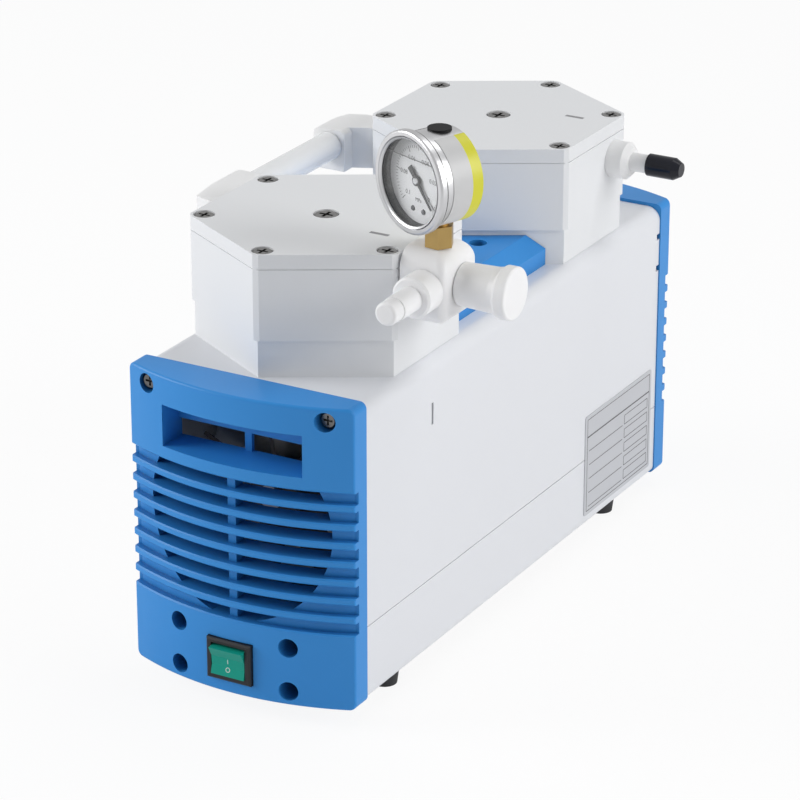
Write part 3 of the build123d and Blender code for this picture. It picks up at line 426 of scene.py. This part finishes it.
# %% Rubber and small plastics
dress(finish("plug_rubber", (0.006, 0.006, 0.007), 0.55, patch=0.4, patch_share=2.0,
             grain=900.0, depth_mm=0.02, Specular_IOR_Level=0.2), "gauge_fill_plug")
dress(finish("black_rubber", (0.022, 0.022, 0.024), 0.65, patch=0.5, patch_share=1.9,
             grain=900.0, depth_mm=0.03),
      "rubber_feet", "pocket_seals", "port_gaskets", "front_diaphragm",
      "rear_diaphragm", "valve_flaps")
dress(finish("cap_black", (0.004, 0.005, 0.011), 0.20, patch=0.4, patch_share=2.0,
             grain=300.0, depth_mm=0.01, Specular_IOR_Level=0.35), "exhaust_cap")
dress(finish("black_plastic", (0.014, 0.014, 0.016), 0.38, patch=0.4, patch_share=1.8,
             grain=1800.0, depth_mm=0.012, Specular_IOR_Level=0.35), "switch_bezel",
      "power_inlet")
dress(finish("rocker_green", (0.008, 0.345, 0.255), 0.30, patch=0.3, patch_share=0.75,
             grain=600.0, depth_mm=0.004, Specular_IOR_Level=0.18), "switch_rocker")
dress(finish("fan_grey", (0.115, 0.100, 0.098), 0.5, patch=0.4), "fans")
dress(finish("capacitor_white", (0.55, 0.56, 0.58), 0.4), "run_capacitor")
print("with rubber and small plastics", len(bpy.data.materials))

# %% Metals
dress(finish("screw_steel", (0.30, 0.295, 0.29), 0.26, patch=0.7, patch_scale=260.0,
             patch_share=0.45, grain=3000.0, depth_mm=0.01, spread=0.25, Metallic=1.0),
      "head_screws")
# Painted shade: the screws sunk in the panel wells get a darker copy of the same screw steel,
# standing in for the shade of their wells.
dress(finish("panel_screw_steel_painted_shade", (0.20, 0.195, 0.19), 0.30, patch=0.7, patch_scale=260.0,
             patch_share=0.45, grain=3000.0, depth_mm=0.01, spread=0.25, Metallic=1.0),
      "case_screws")
dress(finish("cast_aluminium", (0.60, 0.61, 0.62), 0.48, patch=0.5, patch_scale=60.0,
             grain=800.0, depth_mm=0.05, Metallic=1.0),
      "bearing_covers", "end_shields", "front_rod", "rear_rod", "front_clamp_disc",
      "rear_clamp_disc")
dress(finish("ground_steel", (0.48, 0.48, 0.50), 0.28, patch=0.4, patch_scale=80.0,
             Metallic=1.0),
      "shaft", "eccentrics", "main_bearings", "front_crank_bearing", "rear_crank_bearing",
      "motor_bracket")
dress(finish("lamination_steel", (0.16, 0.16, 0.18), 0.45, patch=0.5, Metallic=0.8),
      "stator_core", "rotor_core")
dress(finish("winding_copper", (0.42, 0.16, 0.05), 0.35, patch=0.8, patch_scale=500.0,
             patch_share=0.4, depth_mm=0.1), "stator_windings")
dress(finish("stem_brass", (0.50, 0.34, 0.13), 0.34, patch=0.6, patch_scale=120.0,
             patch_share=0.62, grain=1400.0, depth_mm=0.02, spread=0.2, Metallic=1.0),
      "gauge_connector", "gauge_movement")
dress(finish("polished_steel", (0.66, 0.66, 0.67), 0.31, patch=0.3, patch_scale=40.0,
             patch_share=0.8, grain=700.0, depth_mm=0.004, spread=0.08, Metallic=1.0),
      "gauge_bezel", "gauge_case")
dress(finish("pin_plating", (0.66, 0.64, 0.60), 0.25, patch=0.4, Metallic=1.0), "inlet_pins")
dress(finish("plate_foil", (0.60, 0.61, 0.64), 0.42, patch=0.35, patch_share=0.86,
             grain=900.0, depth_mm=0.006, Metallic=0.25), "nameplate")
dress(finish("pointer_black", (0.010, 0.010, 0.011), 0.4, patch=0.3, patch_share=2.0),
      "gauge_pointer")
print("materials", len(bpy.data.materials))

# %% [markdown]
# ## Lens
# The gauge's window is clear. Light from the lamps has to pass through it to reach the dial,
# and a refracting surface stops those rays and would leave the dial dark. So the material
# mixes in a Transparent shader for shadow rays only, which keeps the dial bright, while the
# camera still sees true glass with its reflections.

# %% Glass
LENS_ROUGHNESS = 0.02
LENS_IOR = 1.45
LENS_TINT = (0.97, 0.98, 0.98, 1.0)

lens = new_material("lens_glass")
tree = lens.node_tree
out = add(tree, "ShaderNodeOutputMaterial")
glass = add(tree, "ShaderNodeBsdfPrincipled")
glass.inputs["Base Color"].default_value = LENS_TINT
glass.inputs["Roughness"].default_value = LENS_ROUGHNESS
glass.inputs["IOR"].default_value = LENS_IOR
glass.inputs["Transmission Weight"].default_value = 1.0
clear = add(tree, "ShaderNodeBsdfTransparent")
rays = add(tree, "ShaderNodeLightPath")
mix = add(tree, "ShaderNodeMixShader")
wire(tree, rays, "Is Shadow Ray", mix, "Fac")
wire(tree, glass, "BSDF", mix, 1)
wire(tree, clear, "BSDF", mix, 2)
wire(tree, mix, "Shader", out, "Surface")
dress(lens, "gauge_lens")
print("lens index", LENS_IOR)

# %% [markdown]
# ## Dial
# The dial is a light disc inside a dark wall. The two are one piece, so they can't be given
# two materials by name. Instead the paint is chosen by the distance from the gauge's axis, in
# axes turned the way the gauge is turned. The pointer's joint says where that axis runs.

# %% Dial and its dark wall
GAUGE_PLACE = Vector(joints["pointer_sweep"]["pos_m"])
GAUGE_AXIS = Vector(joints["pointer_sweep"]["axis"])
GAUGE_TURN = math.atan2(GAUGE_AXIS.x, -GAUGE_AXIS.y)
DIAL_R = 20.3 * MM
DIAL_GREY = (0.55, 0.55, 0.565)
WALL_BLACK = (0.020, 0.021, 0.023)


def gauge_axes_mask(material):
    """Adds the gauge's own coordinates to a material and returns the split node."""
    tree = material.node_tree
    place = add(tree, "ShaderNodeTexCoord")
    turn = add(tree, "ShaderNodeMapping", vector_type="TEXTURE")
    turn.inputs["Location"].default_value = GAUGE_PLACE
    turn.inputs["Rotation"].default_value = (0.0, 0.0, GAUGE_TURN)
    axes = add(tree, "ShaderNodeSeparateXYZ")
    wire(tree, place, "Object", turn, "Vector")
    wire(tree, turn, "Vector", axes, "Vector")
    return axes


def second_colour(material, mask, colour):
    """Mixes a second colour into a finish where the mask is one."""
    tree = material.node_tree
    shader = next(n for n in tree.nodes if n.type == "BSDF_PRINCIPLED")
    group = next(n for n in tree.nodes if n.type == "GROUP")
    blend = add(tree, "ShaderNodeMix", data_type="RGBA")
    blend.inputs[COLOUR_B].default_value = (*colour, 1.0)
    wire(tree, mask, "Value", blend, "Factor")
    wire(tree, group, "Colour", blend, COLOUR_A)
    wire(tree, blend, COLOUR_RESULT, shader, "Base Color")


dial_paint = finish("dial_paint", DIAL_GREY, 0.5, patch=0.3, patch_scale=60.0,
                    patch_share=0.88)
axes = gauge_axes_mask(dial_paint)
tree = dial_paint.node_tree
across = add(tree, "ShaderNodeCombineXYZ")
wire(tree, axes, "X", across, "X")
wire(tree, axes, "Z", across, "Y")
from_axis = add(tree, "ShaderNodeVectorMath", operation="LENGTH")
wire(tree, across, "Vector", from_axis, 0)
outside = add(tree, "ShaderNodeMath", operation="GREATER_THAN")
outside.inputs[1].default_value = DIAL_R
wire(tree, from_axis, "Value", outside, 0)
second_colour(dial_paint, outside, WALL_BLACK)
dress(dial_paint, "gauge_dial")
print("dial light inside radius", DIAL_R, "turned by", round(math.degrees(GAUGE_TURN), 2))

# %% [markdown]
# ## Gauge band
# A paper band runs round the gauge's case, white with a yellow stripe at its back edge. The
# stripe could be an image wrapped round the band, but its edge is one straight cut across
# the gauge's axis. So the mask comes from the same turned axes as the dial's, and is one
# wherever the paper lies further back than the stripe's start.

# %% Banded label
STRIPE_START = 1.5 * MM
BAND_WHITE = (0.63, 0.63, 0.63)
STRIPE_YELLOW = (0.70, 0.68, 0.03)

band = finish("band_paper", BAND_WHITE, 0.38, patch=0.2, patch_share=0.9)
axes = gauge_axes_mask(band)
edge = add(band.node_tree, "ShaderNodeMath", operation="GREATER_THAN")
edge.inputs[1].default_value = STRIPE_START
wire(band.node_tree, axes, "Y", edge, 0)
second_colour(band, edge, STRIPE_YELLOW)
dress(band, "gauge_band")
print("band stripe starts", STRIPE_START, "behind the stem axis")

# %% [markdown]
# ## Printing on the dial
# A dial is printed in black: a ring of ticks with longer ones at the numbers. A drawn image
# would blur when seen close, so each mark is a thin plate just above the dial, which stays
# sharp. All are laid out flat in the gauge's own axes, and one matrix brings them to their
# place. The scale turns left from lower right, as on a vacuum gauge.

# %% Helpers for new pieces
LETTER_STEPS = 3


def piece_from(bm, name, material, body):
    """Turns a bmesh into an object at the origin that rides on a body."""
    mesh = bpy.data.meshes.new(name)
    bm.to_mesh(mesh)
    bm.free()
    mesh.materials.append(material)
    made = bpy.data.objects.new(name, mesh)
    bpy.context.scene.collection.objects.link(made)
    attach(made, body)
    return made


def bar(bm, length, width, thick, matrix):
    """A flat bar added to a bmesh."""
    size = Matrix.Diagonal((length, thick, width, 1.0))
    bmesh.ops.create_cube(bm, size=1.0, matrix=matrix @ size)


def words(text, size, thick, matrix, name, material, body):
    """Plain text as a thin solid, moved to its place once it is a mesh."""
    curve = bpy.data.curves.new(name, "FONT")
    curve.body = text
    curve.size = size
    curve.extrude = thick / 2
    curve.resolution_u = LETTER_STEPS
    curve.align_x = "CENTER"
    curve.align_y = "CENTER"
    source = bpy.data.objects.new(name + "_curve", curve)
    bpy.context.scene.collection.objects.link(source)
    bpy.context.view_layer.update()
    mesh = bpy.data.meshes.new_from_object(source)
    bpy.data.objects.remove(source)
    mesh.transform(matrix @ Matrix.Rotation(math.pi / 2, 4, "X"))
    mesh.materials.clear()
    mesh.materials.append(material)
    mesh.name = name
    made = bpy.data.objects.new(name, mesh)
    bpy.context.scene.collection.objects.link(made)
    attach(made, body)
    return made


GAUGE_AXES = Matrix.Translation(GAUGE_PLACE) @ Matrix.Rotation(GAUGE_TURN, 4, "Z")
ink = finish("dial_ink", (0.012, 0.012, 0.014), 0.5, patch=0.3, patch_share=2.0)

# %% Ticks and numbers
DIAL_FACE = -11.0 * MM
INK_THICK = 0.06 * MM
TICK_R = 16.2 * MM
SCALE_START = math.radians(-45.0)
SCALE_SWEEP = math.radians(270.0)
SCALE_NUMBERS = ("0", "0.02", "0.04", "0.06", "0.08", "0.1")
TICKS = 50
TICKS_PER_NUMBER = TICKS // (len(SCALE_NUMBERS) - 1)
LONG_TICK, MIDDLE_TICK, SHORT_TICK = 2.8 * MM, 2.0 * MM, 1.3 * MM
THICK_TICK, THIN_TICK = 0.34 * MM, 0.2 * MM
NUMBER_R = 10.5 * MM
NUMBER_SIZE = 3.0 * MM
UNIT_SIZE = 2.6 * MM
UNIT_HEIGHT = -9.5 * MM


def tick_size(i):
    """Length and width of a tick: long and thick at a number, longer at half way."""
    if i % TICKS_PER_NUMBER == 0:
        return LONG_TICK, THICK_TICK
    if i % (TICKS_PER_NUMBER // 2) == 0:
        return MIDDLE_TICK, THIN_TICK
    return SHORT_TICK, THIN_TICK


def on_dial(x, z):
    """Axes that lie on the dial's face at a place on it."""
    return GAUGE_AXES @ Matrix.Translation((x, DIAL_FACE - INK_THICK / 2, z))


marks = bmesh.new()
for i in range(TICKS + 1):
    angle = SCALE_START + SCALE_SWEEP * i / TICKS
    length, width = tick_size(i)
    turn = Matrix.Rotation(-angle, 4, "Y")
    shift = Matrix.Translation((TICK_R - length / 2, DIAL_FACE - INK_THICK / 2, 0.0))
    bar(marks, length, width, INK_THICK, GAUGE_AXES @ turn @ shift)
piece_from(marks, "dial_ticks", ink, "pump_frame")

for i, label in enumerate(SCALE_NUMBERS):
    angle = SCALE_START + SCALE_SWEEP * i / (len(SCALE_NUMBERS) - 1)
    spot = on_dial(NUMBER_R * math.cos(angle), NUMBER_R * math.sin(angle))
    words(label, NUMBER_SIZE, INK_THICK, spot, "dial_number_" + str(i), ink, "pump_frame")
words("MPa", UNIT_SIZE, INK_THICK, on_dial(0.0, UNIT_HEIGHT), "dial_unit", ink, "pump_frame")
print("dial marks", TICKS + 1)

# %% [markdown]
# ## Hub, dial screws and level line
# The pointer is held by a bright hub, and two dark screws hold the dial. Each is a short cone
# whose front is a little smaller than its back, so its edge catches the light as a turned
# head does. The case is filled with clear oil. Only the oil's surface is seen, as a fine dark
# line across the upper part of the dial, so one thin bar behind the lens stands for it.

# %% Pointer hub, dial screws and oil line
HUB_Y = -13.0 * MM
HUB_BACK_R, HUB_FRONT_R = 1.7 * MM, 1.4 * MM
DIAL_SCREW_BACK_R, DIAL_SCREW_FRONT_R = 1.35 * MM, 1.15 * MM
DIAL_SCREW_X = 3.75 * MM
DIAL_SCREW_Z = -14.2 * MM
DISC_DEPTH = 0.5 * MM
OIL_LEVEL = 10.9 * MM
OIL_HALF = math.sqrt(DIAL_R ** 2 - OIL_LEVEL ** 2)
OIL_LINE_WIDTH, OIL_LINE_DEPTH = 0.35 * MM, 0.3 * MM
LENS_BACK = -15.0 * MM
OIL_GAP = 0.4 * MM


def disc(bm, r_back, r_front, depth, x, y, z, segments=32):
    """A short turned disc that faces the viewer, in the gauge's own axes."""
    spot = GAUGE_AXES @ Matrix.Translation((x, y, z)) @ Matrix.Rotation(math.pi / 2, 4, "X")
    bmesh.ops.create_cone(bm, cap_ends=True, segments=segments, radius1=r_back,
                          radius2=r_front, depth=depth, matrix=spot)


hub = bmesh.new()
disc(hub, HUB_BACK_R, HUB_FRONT_R, DISC_DEPTH, 0, HUB_Y, 0)
piece_from(hub, "pointer_hub", finish("hub_steel", (0.62, 0.62, 0.64), 0.25, Metallic=1.0),
           "pointer")

screws = bmesh.new()
for x in (-DIAL_SCREW_X, DIAL_SCREW_X):
    disc(screws, DIAL_SCREW_BACK_R, DIAL_SCREW_FRONT_R, DISC_DEPTH, x,
         DIAL_FACE - DISC_DEPTH / 2, DIAL_SCREW_Z)
piece_from(screws, "dial_screws", finish("dark_screw", (0.10, 0.10, 0.11), 0.35, Metallic=0.8),
           "pump_frame")

line = bmesh.new()
bar(line, 2 * OIL_HALF, OIL_LINE_WIDTH, OIL_LINE_DEPTH,
    GAUGE_AXES @ Matrix.Translation((0, LENS_BACK + OIL_GAP, OIL_LEVEL)))
piece_from(line, "oil_surface", finish("oil_edge", (0.10, 0.10, 0.10), 0.3), "pump_frame")
print("oil line half length", round(OIL_HALF, 4))

# %% [markdown]
# ## Bezel lip, and seal with painted shadow
# The ring that holds the glass turns in over its edge in a bright lip, and a dark rubber seal
# shows where the ring is pressed on the case; its dark also stands in for the shadow in the gap
# there, as painted shade. Both are turned parts, so both are made as a turner would cut them: a
# small closed profile is drawn beside the axis and spun once round.

# %% Turned rings on the gauge
def ring_of(bm, profile, segments=96):
    """Spins a closed (radius, y) profile round the gauge's axis."""
    corners = []
    for radius, y in profile:
        corners.append(bm.verts.new(GAUGE_AXES @ Vector((radius, y, 0.0))))
    edges = []
    for one, other in zip(corners, corners[1:] + corners[:1]):
        edges.append(bm.edges.new((one, other)))
    axis = GAUGE_AXES.to_3x3() @ Vector((0, 1, 0))
    bmesh.ops.spin(bm, geom=corners + edges, cent=GAUGE_AXES.translation, axis=axis,
                   angle=2 * math.pi, steps=segments, use_merge=True)
    bmesh.ops.recalc_face_normals(bm, faces=bm.faces)


LIP_INNER, LIP_SHOULDER, LIP_OUTER = 20.1 * MM, 20.4 * MM, 21.15 * MM
LIP_BACK, LIP_MIDDLE, LIP_FRONT = -17.45 * MM, -18.0 * MM, -18.36 * MM

lip = bmesh.new()
ring_of(lip, [(LIP_INNER, LIP_BACK), (LIP_SHOULDER, LIP_MIDDLE), (LIP_OUTER, LIP_FRONT),
              (LIP_OUTER, LIP_BACK)])
lip_steel = finish("lip_steel", (0.66, 0.66, 0.67), 0.30, spread=0.08, Metallic=1.0)
piece_from(lip, "bezel_lip", lip_steel, "pump_frame")

SEAL_INNER, SEAL_OUTER = 23.1 * MM, 24.0 * MM
SEAL_FRONT, SEAL_BACK = -14.95 * MM, -14.2 * MM

# Partly painted shade: the ring is a dark rubber seal, and its dark also stands in for the shadow
# in the gap behind the bezel.
seal = bmesh.new()
ring_of(seal, [(SEAL_INNER, SEAL_FRONT), (SEAL_OUTER, SEAL_FRONT), (SEAL_OUTER, SEAL_BACK),
               (SEAL_INNER, SEAL_BACK)])
piece_from(seal, "bezel_seal_and_shadow", finish("seal_rubber_and_shadow", (0.03, 0.03, 0.03), 0.5), "pump_frame")
print("bezel rings added")

# %% [markdown]
# ## Direction marks on the heads
# Each head cover has a short sunk dash beside its valve, filled with grey paint. The groove
# itself is in the CAD model, so the paint is only a block laid in it. It stands a hair above
# the cover, so the two faces don't flicker, and laps a little over the groove's far edge.

# %% Painted dashes
COVER_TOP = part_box("front_head_cover")[1].z
DASH_MIDDLE = 35.5 * MM
DASH_SIZE = Vector((10.0, 2.4, 0.8)) * MM
PAINT_PROUD = 0.03 * MM
FRONT_DASH_Y, REAR_DASH_Y = -97.5 * MM, 101.1 * MM
DASH_GREY = (0.27, 0.27, 0.28)

for end, y in (("front", FRONT_DASH_Y), ("rear", REAR_DASH_Y)):
    dash = bmesh.new()
    middle = (DASH_MIDDLE, y, COVER_TOP + PAINT_PROUD - DASH_SIZE.z / 2)
    block = Matrix.Translation(middle) @ Matrix.Diagonal((*DASH_SIZE, 1.0))
    bmesh.ops.create_cube(dash, size=1.0, matrix=block)
    paint = finish(end + "_dash_paint", DASH_GREY, 0.5)
    piece_from(dash, end + "_cover_dash", paint, "pump_frame")
print("dashes painted", DASH_SIZE)

# %% [markdown]
# ## Rating plate
# The foil plate on the side is printed as a blank form: a border, a heading rule, and rows
# that each end in an empty box for a value. Every stroke is a thin bar on the plate's face,
# which stays sharp at any distance. Its edges are found from the plate's own box, and the
# rows then follow from a step and an inset.

# %% Blank form on the plate
plate_corner, plate_far_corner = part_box("nameplate")
PLATE_FACE = plate_far_corner.x
PLATE_NEAR, PLATE_FAR = plate_corner.y, plate_far_corner.y
PLATE_LOW, PLATE_HIGH = plate_corner.z, plate_far_corner.z
PLATE_INSET = 2.2 * MM
RULE_WIDTH = 0.35 * MM
ROWS = 5
ROW_STEP = 7.8 * MM
BOX_LENGTH, BOX_HEIGHT = 27.0 * MM, 5.0 * MM
PRINT_THICK = 0.05 * MM


def stroke_on_plate(bm, y0, y1, z0, z1):
    """A printed stroke between two corners; a side of no width gets the rule's width."""
    middle = Matrix.Translation((PLATE_FACE, (y0 + y1) / 2, (z0 + z1) / 2))
    size = (2 * PRINT_THICK, max(y1 - y0, RULE_WIDTH), max(z1 - z0, RULE_WIDTH), 1.0)
    bmesh.ops.create_cube(bm, size=1.0, matrix=middle @ Matrix.Diagonal(size))


def frame_on_plate(bm, y0, y1, z0, z1):
    """A printed outline of four strokes."""
    stroke_on_plate(bm, y0, y1, z0, z0)
    stroke_on_plate(bm, y0, y1, z1, z1)
    stroke_on_plate(bm, y0, y0, z0, z1)
    stroke_on_plate(bm, y1, y1, z0, z1)


left, right = PLATE_NEAR + PLATE_INSET, PLATE_FAR - PLATE_INSET
low, high = PLATE_LOW + PLATE_INSET, PLATE_HIGH - PLATE_INSET
form = bmesh.new()
frame_on_plate(form, left, right, low, high)
for row in range(ROWS):
    base = low + PLATE_INSET + row * ROW_STEP
    frame_on_plate(form, right - PLATE_INSET - BOX_LENGTH, right - PLATE_INSET, base,
                   base + BOX_HEIGHT)
    stroke_on_plate(form, left + PLATE_INSET, right - 2 * PLATE_INSET - BOX_LENGTH, base, base)
heading = low + PLATE_INSET + ROWS * ROW_STEP
stroke_on_plate(form, left, right, heading, heading + 2 * RULE_WIDTH)
piece_from(form, "plate_form", finish("plate_print", (0.10, 0.10, 0.11), 0.5), "pump_frame")
print("plate rows", ROWS)

# %% [markdown]
# ## Switch marks
# The rocker carries a plain stroke for on and a ring for off, printed in white on its dished
# face. The face is three straight slopes, so each mark finds the slope that it stands on and
# leans with it. The marks ride on the rocker's body, so they rock with it. The ring is a loop
# of short bars, because a thin print needs no more.

# %% On and off
# At rest the rocker is tipped from its middle by half of its travel.
ROCKER_PIVOT = Vector(joints["switch_rock"]["pos_m"])
ROCKER_REST = math.radians(joints["switch_rock"]["range_deg"][1] / 2)

# The face's corners as height and depth, and the two marks' heights, in mm from the pivot.
ROCKER_FACE = ((-7.1, -6.8), (-2.6, -5.2), (2.0, -5.0), (7.1, -6.8))
ON_HEIGHT = 0.3
OFF_HEIGHT = -3.9
STROKE_WIDTH, STROKE_HEIGHT = 0.42 * MM, 2.3 * MM
LOOP_R = 1.05 * MM
LOOP_PARTS = 20
LOOP_WIDTH, LOOP_PART_LENGTH = 0.40 * MM, 0.36 * MM

rocker_axes = Matrix.Translation(ROCKER_PIVOT) @ Matrix.Rotation(ROCKER_REST, 4, "X")
white_print = finish("rocker_print", (0.62, 0.74, 0.68), 0.4, patch=0.2)


def on_rocker(height):
    """Axes that lie on the dished face at a height from its middle, facing outward."""
    for (z0, y0), (z1, y1) in zip(ROCKER_FACE, ROCKER_FACE[1:]):
        if z0 <= height <= z1:
            break
    y = y0 + (y1 - y0) * (height - z0) / (z1 - z0)
    lean = math.atan2(y1 - y0, z1 - z0)
    spot = Matrix.Translation((0.0, y * MM - PRINT_THICK / 2, height * MM))
    return rocker_axes @ spot @ Matrix.Rotation(-lean, 4, "X")


stroke = bmesh.new()
bar(stroke, STROKE_WIDTH, STROKE_HEIGHT, PRINT_THICK, on_rocker(ON_HEIGHT))
piece_from(stroke, "switch_on_mark", white_print, "rocker")

loop = bmesh.new()
for i in range(LOOP_PARTS):
    turn = Matrix.Rotation(2 * math.pi * i / LOOP_PARTS, 4, "Y")
    side = turn @ Matrix.Translation((LOOP_R, 0, 0))
    bar(loop, LOOP_WIDTH, LOOP_PART_LENGTH, PRINT_THICK, on_rocker(OFF_HEIGHT) @ side)
piece_from(loop, "switch_off_mark", white_print, "rocker")
print("rocker marks at", ON_HEIGHT, OFF_HEIGHT)
